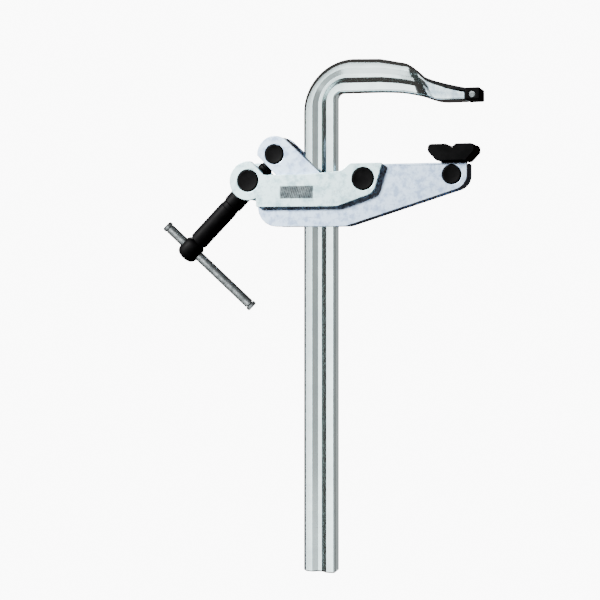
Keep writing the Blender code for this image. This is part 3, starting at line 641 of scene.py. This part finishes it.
def dishEnds(work):
    # each flat end gets a raised rim, a shallow dish and a small centre mark
    faces = endFaces(work, Vector((0, 1, 0)), pinEnd["leastArea"])
    bmesh.ops.inset_individual(work, faces=faces, thickness=pinEnd["rim"], depth=0)
    bmesh.ops.inset_individual(work, faces=faces, thickness=pinEnd["slope"], depth=-pinEnd["dish"])
    wide = max(math.sqrt(face.calc_area() / math.pi) for face in faces)
    bmesh.ops.inset_individual(work, faces=faces, thickness=wide * (1 - pinEnd["boss"]), depth=0)
    bmesh.ops.inset_individual(
        work, faces=faces, thickness=wide * pinEnd["boss"] * pinEnd["markShare"],
        depth=-pinEnd["dish"],
    )


for name, node in [
    ("trunnionBarrel", "trunnion_barrel"), ("barrelNut", "barrel_nut"),
    ("fulcrumPin", "fulcrum_pin"), ("padPin", "pad_pin"),
]:
    finish = makeBlackOxide(
        name + "Black", blackOxide, middleOf(node), acrossTurn, ringScales["pin"]
    )
    work = copyOf(node)
    dishEnds(work)
    addPiece(name, work, finish, node)

padEdge = {"round": 0.5 * mm, "segments": 3, "least": 38}
padBlack = makeBlackOxide("padBlack", blackOxide, padPinAt, acrossTurn, ringScales["pad"])
addSoftened(
    "pressurePad", "pressure_pad", padBlack, padEdge["round"], padEdge["segments"],
    least=padEdge["least"],
)
print("pins and pad made")


# spindle, sleeve and handle

thread = {
    "start": 17.0 * mm, "end": 43.0 * mm, "pitch": 3 * mm, "root": 4.8 * mm, "crest": 5.3 * mm,
    "rootHalf": 0.95 * mm, "crestHalf": 0.42 * mm, "stepsPerTurn": 30,
}


def makeThread():
    work = bmesh.new()
    out = Vector((0, 1, 0))
    corners = [
        (thread["root"], -thread["rootHalf"]), (thread["crest"], -thread["crestHalf"]),
        (thread["crest"], thread["crestHalf"]), (thread["root"], thread["rootHalf"]),
    ]
    start = trunnionAt + spindleAlong * thread["start"]
    verts = [work.verts.new(start + out * radius + spindleAlong * rise) for radius, rise in corners]
    face = work.faces.new(verts)
    turns = (thread["end"] - thread["start"]) / thread["pitch"]
    steps = round(turns * thread["stepsPerTurn"])
    bmesh.ops.spin(
        work, geom=[face, *face.edges, *face.verts], cent=trunnionAt, axis=spindleAlong,
        dvec=spindleAlong * (thread["end"] - thread["start"]) / steps,
        angle=2 * math.pi * turns, steps=steps, use_merge=False, use_duplicate=False,
    )
    bmesh.ops.holes_fill(work, edges=[edge for edge in work.edges if edge.is_boundary])
    bmesh.ops.recalc_face_normals(work, faces=work.faces)
    return work


addPiece("spindleThread", makeThread(), blackSpindle, "spindle", hides=False)
for name, node, width in [
    ("spindle", "spindle", 0.3 * mm), ("thrustCollar", "thrust_collar", 0.2 * mm),
    ("spindleSleeve", "spindle_sleeve", 0.2 * mm), ("threadStopRing", "thread_stop_ring", 0.1 * mm),
]:
    addSoftened(name + "Black", node, blackSpindle, width)
for name, node in [("thrustWasher", "thrust_washer"), ("spindleCirclip", "spindle_circlip")]:
    addSoftened(name, node, plainSteel, 0.12 * mm)
for name, node in [
    ("tommyBar", "tommy_bar"), ("upperBarRing", "upper_bar_ring"),
    ("lowerBarRing", "lower_bar_ring"),
]:
    addSoftened(name, node, barSteel, 0.2 * mm)
print("spindle and handle made")


# studio

studio = {
    "floor": -0.75, "flat": 3.0, "curve": 1.0, "wall": 4.0, "curveSteps": 8, "turnSteps": 48,
    "pale": (1.0, 1.0, 1.0), "glow": 10.0,
}


def makeStudio():
    # a round sweep: a flat pale floor that curves up into a wall all round
    work = bmesh.new()
    flat, curve, floor = studio["flat"], studio["curve"], studio["floor"]
    outline = [(0, floor), (flat, floor)]
    steps = studio["curveSteps"]
    for i in range(1, steps + 1):
        angle = quarter * i / steps
        outline.append((flat + curve * math.sin(angle), floor + curve * (1 - math.cos(angle))))
    outline.append((flat + curve, floor + studio["wall"]))
    verts = [work.verts.new((x, 0, z)) for x, z in outline]
    edges = [work.edges.new(pair) for pair in zip(verts, verts[1:])]
    bmesh.ops.spin(
        work, geom=verts + edges, cent=(0, 0, 0), axis=(0, 0, 1),
        angle=2 * math.pi, steps=studio["turnSteps"], use_merge=True, use_duplicate=False,
    )
    bmesh.ops.remove_doubles(work, verts=work.verts, dist=0.1 * mm)
    mesh = bpy.data.meshes.new("studioFloor")
    work.to_mesh(mesh)
    work.free()
    mesh.shade_smooth()
    floorPiece = bpy.data.objects.new("studioFloor", mesh)
    bpy.context.scene.collection.objects.link(floorPiece)
    maker = Maker("paleFloor")
    maker.shader.inputs["Base Color"].default_value = (0, 0, 0, 1)
    maker.shader.inputs["Specular IOR Level"].default_value = 0
    maker.shader.inputs["Emission Color"].default_value = (*studio["pale"], 1)
    maker.shader.inputs["Emission Strength"].default_value = studio["glow"]
    floorPiece.data.materials.append(maker.material)
    floorPiece.visible_glossy = False
    floorPiece.visible_diffuse = False
    floorPiece.visible_shadow = False


def direction(azimuth, elevation):
    # azimuth 0 is towards the front, -Y, and positive turns towards +X
    a, e = math.radians(azimuth), math.radians(elevation)
    return Vector((math.sin(a) * math.cos(e), -math.cos(a) * math.cos(e), math.sin(e)))


lightTarget = Vector((-0.09, 0, -0.08))
# the key and back lamps light the satin and black pieces, and the bright ones mirror the panels
lamps = {
    "keyLamp": {"from": (-47, 29), "away": 1.4, "size": (0.34, 0.34), "power": 118, "on": "satin"},
    "frontPanel": {
        "from": (-4, -8), "away": 1.5, "size": (0.85, 1.25), "power": 14.5, "on": "bright",
    },
    "rightPanel": {
        "from": (58, -4), "away": 1.2, "size": (0.9, 1.3), "power": 1.7, "on": "bright",
    },
    "cornerPanel": {
        "from": (34, -42), "away": 1.2, "size": (0.9, 0.9), "power": 2.0, "on": "bright",
    },
    "lowPanel": {
        "from": (-33, -58), "away": 1.2, "size": (0.65, 0.65), "power": 3.6, "on": "bright",
    },
    "sidePanel": {
        "from": (146, -6), "away": 1.2, "size": (1.2, 1.4), "power": 2.2, "on": "bright",
    },
    "backLamp": {"from": (205, 28), "away": 1.4, "size": (0.5, 0.5), "power": 30, "on": "satin"},
}
litBy = {kind: bpy.data.collections.new(kind + "Pieces") for kind in ("satin", "bright")}


def makeLamp(name, lamp):
    light = bpy.data.lights.new(name, "AREA")
    light.shape = "RECTANGLE"
    light.size, light.size_y = lamp["size"]
    light.energy = lamp["power"]
    holder = bpy.data.objects.new(name, light)
    towards = direction(*lamp["from"])
    holder.location = lightTarget + towards * lamp["away"]
    holder.rotation_euler = towards.to_track_quat("Z", "Y").to_euler()
    holder.visible_camera = False
    holder.light_linking.receiver_collection = litBy[lamp["on"]]
    bpy.context.scene.collection.objects.link(holder)


makeStudio()
for piece in pieces:
    polished = piece.data.materials[0] in (railSteel, barSteel, plainSteel)
    litBy["bright" if polished else "satin"].objects.link(piece)
for name, lamp in lamps.items():
    makeLamp(name, lamp)
roomColour = (0.074, 0.060, 0.056)
world = bpy.data.worlds.new("dimRoom")
world.use_nodes = True
world.node_tree.nodes["Background"].inputs["Color"].default_value = (*roomColour, 1)
bpy.context.scene.world = world

view = {
    "azimuth": 18, "away": 1.05, "lens": 76.9, "sensor": 36, "shiftDown": 1 / 12,
    "aim": (-0.1284, 0, -0.117),
}
camera = bpy.data.objects.new("camera", bpy.data.cameras.new("camera"))
camera.data.lens = view["lens"]
camera.data.sensor_width = view["sensor"]
camera.data.shift_y = -view["shiftDown"]
camera.location = Vector(view["aim"]) + direction(view["azimuth"], 0) * view["away"]
camera.rotation_euler = (quarter, 0, math.radians(view["azimuth"]))
bpy.context.scene.collection.objects.link(camera)
bpy.context.scene.camera = camera
print("studio ready")
